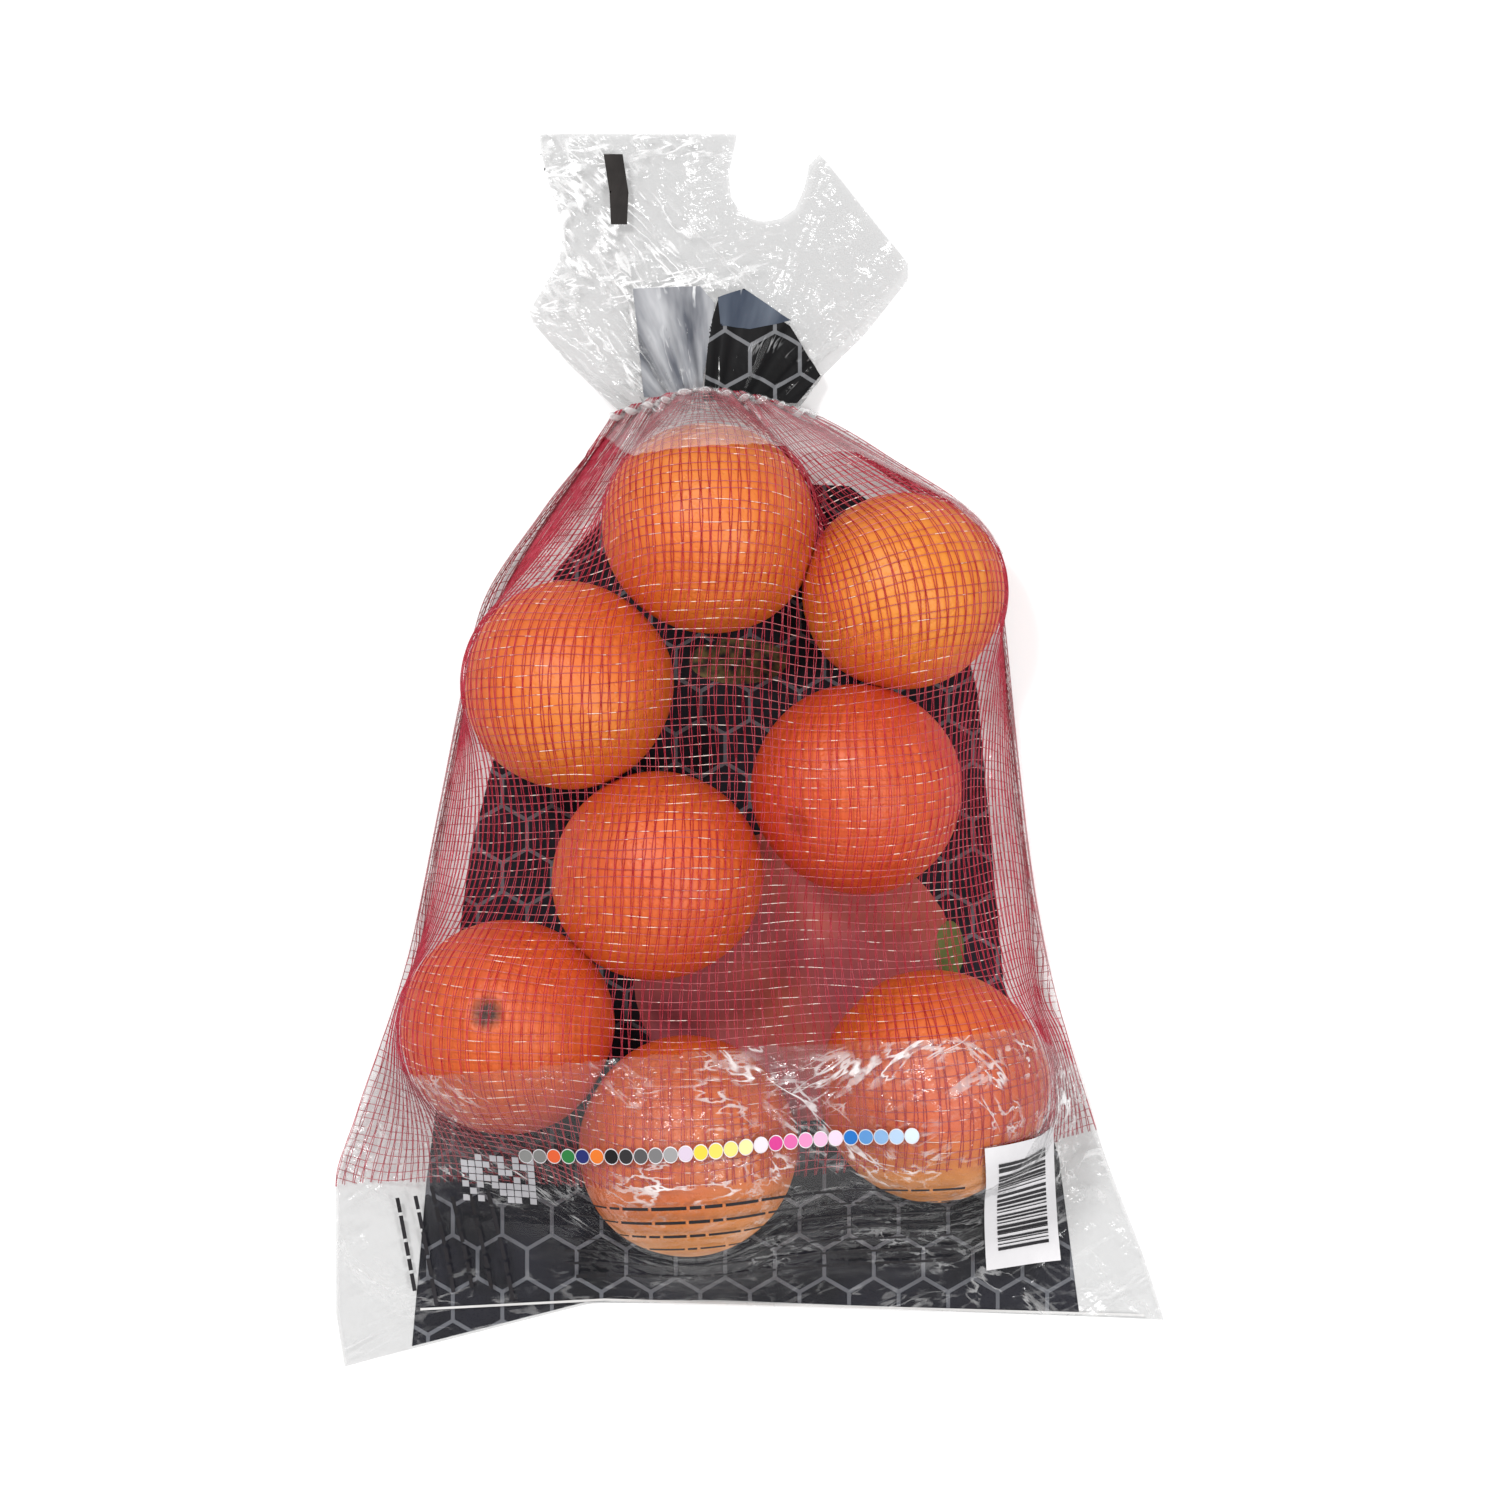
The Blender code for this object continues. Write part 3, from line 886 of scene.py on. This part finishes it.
def make_labels(front, rng):
    """Generic print on the front film: a row of dots, plain bars for text and a bar label."""
    tree = front.tree
    colours = dot_colours()
    row = [(-74 + 126 * share, -134.5 + 10 * share) for share in np.linspace(0, 1, len(colours))]
    ring = ink_look("dot_ring_ink", linear(225, 222, 225), linear(236, 234, 236))
    lay_print("dot_rings", tree, [round_outline(x, y, 2.42, 2.7, 20) for x, y in row], 2.6, ring)
    for number, ((x, y), colour) in enumerate(zip(row, colours)):
        ink = ink_look(f"dot_{number:02d}_ink", linear(*colour), linear(*colour))
        lay_print(f"dot_{number:02d}", tree, [round_outline(x, y, 2.2, 2.35, 20)], 2.8, ink)
    ink = ink_look("text_ink", linear(34, 32, 34), linear(46, 44, 48))
    words = text_lines(rng, 7, -147, 5.0, -62, 66, 13, 1.4, math.radians(3.4), tree)
    lay_print("text_bars", tree, words, 2.6, ink)
    upright = text_lines(rng, 6, -115.5, 6.6, 151, 184, 10, 1.4, 0.18)
    lay_print("text_bars_upright", tree, [[(y, -x) for x, y in word] for word in upright], 2.4, ink)
    pale = ink_look("code_ink", linear(176, 174, 178), linear(196, 194, 198))
    blocks = [bar(-96 + 2.6 * i, -152 + 2.6 * j, 2.3, 2.3) for i in range(10) for j in range(7)
              if rng.uniform() < 0.62]
    lay_print("code_blocks", tree, blocks, 2.4, pale)
    label = ink_look("label_ink", linear(222, 220, 222), linear(232, 230, 232))
    lay_print("bar_label", tree, [bar(91, -152, 26, 49, 0.1)], 2.6, label)
    bars, at = [], 0.0
    while at < 35:
        thick = rng.choice([0.4, 0.8, 1.2])
        bars.append(bar(91.5 - 0.1 * (at - 17), -169 + at, 18, thick, 0.1))
        at += thick + rng.choice([0.5, 0.9])
    lay_print("bar_label_bars", tree, bars, 2.9, ink)


FAN_START = 114
NECK_MIDDLE = -14
FAN_OUTLINE = (
    (-44, 114), (-47.5, 117), (-62, 131), (-75, 146), (-76.5, 150), (-66, 168), (-65, 175),
    (-66, 184), (-70, 196), (-72.5, 206), (-73, 212), (-4, 212), (-6, 203), (-7.2, 197),
    (-6.5, 190), (-4, 186), (0, 182.5),
    (5, 181.5), (11, 182.5), (16, 186), (19, 193), (20.5, 201), (24.5, 205), (55, 167), (55, 161),
    (40, 142), (25, 127), (18, 117), (15, 114),
)


def fan_height(rng):
    """The loose film's height at (x, y): pleats spread from the neck and fade into soft folds."""
    pleats = [(rate, size, rng.uniform(0, 2 * math.pi)) for rate, size in ((7, 1.0), (13, 0.6), (23, 0.4))]
    folds = crumple(rng, 6, 16)

    def height(x, y):
        beyond = max(y - FAN_START, 0)
        turn = math.atan2(x - NECK_MIDDLE, y - FAN_START + 18)
        pleat = sum(size * (1 - 2 * abs(math.sin(rate * turn + at))) for rate, size, at in pleats)
        size = 0.25 + 1.5 * math.exp(-((beyond - 16) / 22) ** 2)
        middle = 4.2 + (NECK_Z - 4.2) * math.exp(-beyond / 22)
        return middle + size * pleat + 1.6 * folds(x, y) * min(beyond / 40, 1)
    return height


def fan_layer(name, height, lift, shrink, look):
    outline = [(NECK_MIDDLE + (x - NECK_MIDDLE) * shrink, FAN_START + (y - FAN_START) * shrink)
               for x, y in FAN_OUTLINE]
    bm = cut_flat([outline], 1.2)
    for vert in bm.verts:
        vert.co.z = max(height(vert.co.x, vert.co.y) + lift, 0.3)
    verts, faces = bmesh_parts(bm)
    add_piece(name, verts, faces, look)
    return BVHTree.FromPolygons([Vector(v) for v in verts], faces)


def make_fan(rng):
    """The loose film beyond the neck, in two layers, with the folded dark print on it."""
    # Each film look's fourth number is how strong its painted highlights are.
    under = film_look("fan_back_film", 0.06, 0.003, 0.82, 0.3, ((-20, 4),), fanned=True)
    fan_layer("fan_back", fan_height(rng), -1.5, 0.985, under)
    over = film_look("fan_front_film", 0.06, 0.005, 0.82, 0.85, ((12, 5), (-48, 4)), fanned=True)
    tree = fan_layer("fan_front", fan_height(rng), 1.6, 1.0, over)
    # The fan's inks carry painted glints; the teal and veil inks also carry streaks of painted light and
    # shade along the pleats.
    dark = hexagon_ink("fan_hexagon_ink", linear(8, 8, 9), linear(16, 15, 17), linear(112, 113, 116), 0.5)
    fold = [(-16, 118), (-14, 143), (-11, 153), (-2, 156), (13.6, 144), (24, 127), (16, 117)]
    lay_print("fan_dark_fold", tree, [fold], 0.25, dark, 1)
    teal = ink_look("fan_teal_ink", linear(58, 66, 80), linear(92, 100, 112), 120, 0.9)
    strip = [(-11, 154), (-2, 157), (14, 146), (0, 143), (-10, 144)]
    lay_print("fan_teal_strip", tree, [strip], 0.45, teal, 1)
    # The veil's dark and pale streaks along the pleats are painted light and shade.
    veil = ink_look("fan_veil_ink", linear(88, 91, 99), linear(184, 185, 188), 150, 1.0)
    pale = [(-36, 119), (-17, 118), (-12, 152), (-17, 158), (-40, 157)]
    lay_print("fan_veil", tree, [pale], 0.25, veil, 1)
    black = ink_look("fan_bar_ink", linear(34, 31, 30), linear(50, 46, 44), 90)
    mark = [(-50, 203), (-43.5, 203), (-41.5, 190), (-42, 179), (-47.5, 179), (-48, 190)]
    lay_print("fan_bar", tree, [mark], 0.3, black, 1)


# ---- Stage -----------------------------------------------------------------------------

def make_camera():
    camera = bpy.data.cameras.new("camera")
    camera.lens = FOCAL_LENGTH
    camera.sensor_width = 36
    holder = bpy.data.objects.new("camera", camera)
    holder.location = (0, CAMERA_Y * MM, CAMERA_HEIGHT * MM)
    bpy.context.scene.collection.objects.link(holder)
    bpy.context.scene.camera = holder


def make_lamp(name, place, size, power):
    lamp = bpy.data.lights.new(name, "AREA")
    lamp.size = size
    lamp.energy = power
    holder = bpy.data.objects.new(name, lamp)
    holder.location = place
    holder.rotation_euler = (-Vector(place)).to_track_quat("-Z", "Y").to_euler()
    bpy.context.scene.collection.objects.link(holder)


def make_stage():
    """A pale floor that reads white, more so far out, a soft world and two lamps."""
    nodes = Nodes("floor_look")
    rays = nodes.add("ShaderNodeLightPath")
    mirrored = nodes.math("MAXIMUM", rays.outputs["Is Glossy Ray"], rays.outputs["Is Transmission Ray"])
    seen = nodes.math("MAXIMUM", rays.outputs["Is Camera Ray"], mirrored)
    paint = nodes.shader(Base_Color=(0.86, 0.86, 0.86, 1), Roughness=0.9, Specular_IOR_Level=0.0)
    away = nodes.add("ShaderNodeVectorMath", {0: nodes.place()}, operation="LENGTH").outputs["Value"]
    lift = nodes.add("ShaderNodeMapRange", {"Value": away, "From Min": 0.4, "From Max": 1.6,
                                            "To Min": 0.27, "To Max": 0.47}).outputs[0]
    glow = nodes.add("ShaderNodeEmission", {"Strength": nodes.math("MULTIPLY", seen, lift)}).outputs[0]
    both = nodes.add("ShaderNodeAddShader")
    nodes.tree.links.new(paint, both.inputs[0])
    nodes.tree.links.new(glow, both.inputs[1])
    look = nodes.finish(both.outputs[0])
    mesh = bpy.data.meshes.new("floor")
    half = FLOOR_HALF
    corners = [(-half, -half, 0), (half, -half, 0), (half, half, 0), (-half, half, 0)]
    mesh.from_pydata(corners, [], [(0, 1, 2, 3)])
    mesh.materials.append(look)
    floor = bpy.data.objects.new("floor", mesh)
    bpy.context.scene.collection.objects.link(floor)

    world = bpy.data.worlds.new("world")
    world.use_nodes = True
    tree = world.node_tree
    sky = tree.nodes["Background"]
    rays = tree.nodes.new("ShaderNodeLightPath")
    level = tree.nodes.new("ShaderNodeMapRange")
    level.inputs["To Min"].default_value = SKY_STRENGTH
    level.inputs["To Max"].default_value = 1.0
    seen = rays.outputs["Is Camera Ray"]
    for kind in ("Is Glossy Ray", "Is Transmission Ray"):
        either = tree.nodes.new("ShaderNodeMath")
        either.operation = "MAXIMUM"
        tree.links.new(seen, either.inputs[0])
        tree.links.new(rays.outputs[kind], either.inputs[1])
        seen = either.outputs[0]
    tree.links.new(seen, level.inputs["Value"])
    tree.links.new(level.outputs[0], sky.inputs["Strength"])
    sky.inputs["Color"].default_value = (1, 1, 1, 1)
    bpy.context.scene.world = world
    make_lamp("key_lamp", (-0.5, 0.6, 1.5), 0.24, 14.5)
    make_lamp("fill_lamp", (0.7, -0.4, 1.5), 0.3, 10)
    bpy.context.scene.view_settings.view_transform = "Standard"


def main():
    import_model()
    make_camera()
    rng = np.random.default_rng(SEED)
    front = Front(drape())
    fruits = [make_orange(name, *numbers, rng) for name, numbers in ORANGES.items()]
    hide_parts("net_bag")
    make_net(front, rng)
    make_front_film(front, rng)
    make_lip(front)
    sheet = make_back()
    make_seams()
    make_print(sheet)
    make_labels(front, rng)
    make_fan(rng)
    make_stage()


main()
